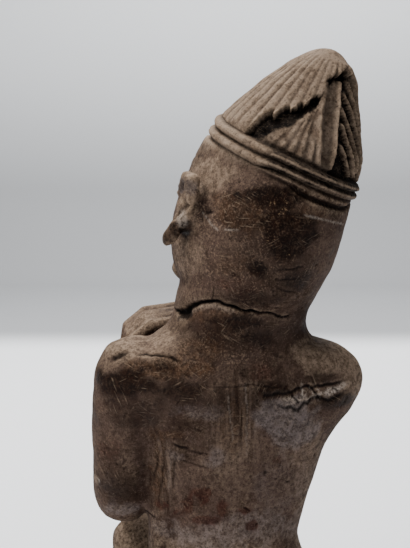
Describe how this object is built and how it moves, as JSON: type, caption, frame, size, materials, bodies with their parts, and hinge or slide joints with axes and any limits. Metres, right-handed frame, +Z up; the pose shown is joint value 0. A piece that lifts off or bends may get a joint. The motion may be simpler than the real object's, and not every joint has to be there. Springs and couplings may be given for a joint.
{
  "type": "stone funerary figure",
  "caption": "Seated stone figure in a tall fluted cap, elbow on the raised knee, fist at the chin, head turned and tilted, carved in a piece with its low plinth.",
  "frame": {"origin": "centre of the plinth's flat underside", "axes": "+Z up through the figure to the tip of its cap, -Y the way the figure's body faces, +X to the figure's own left"},
  "size_m": [0.176, 0.162, 0.394],
  "materials": {
    "soapstone": "carved soapstone, handled smooth, with dark waxy patina, pale worn edges and grey cuts"
  },
  "bodies": {
    "root": {"ntadi_figure": "soapstone"}
  },
  "joints": []
}
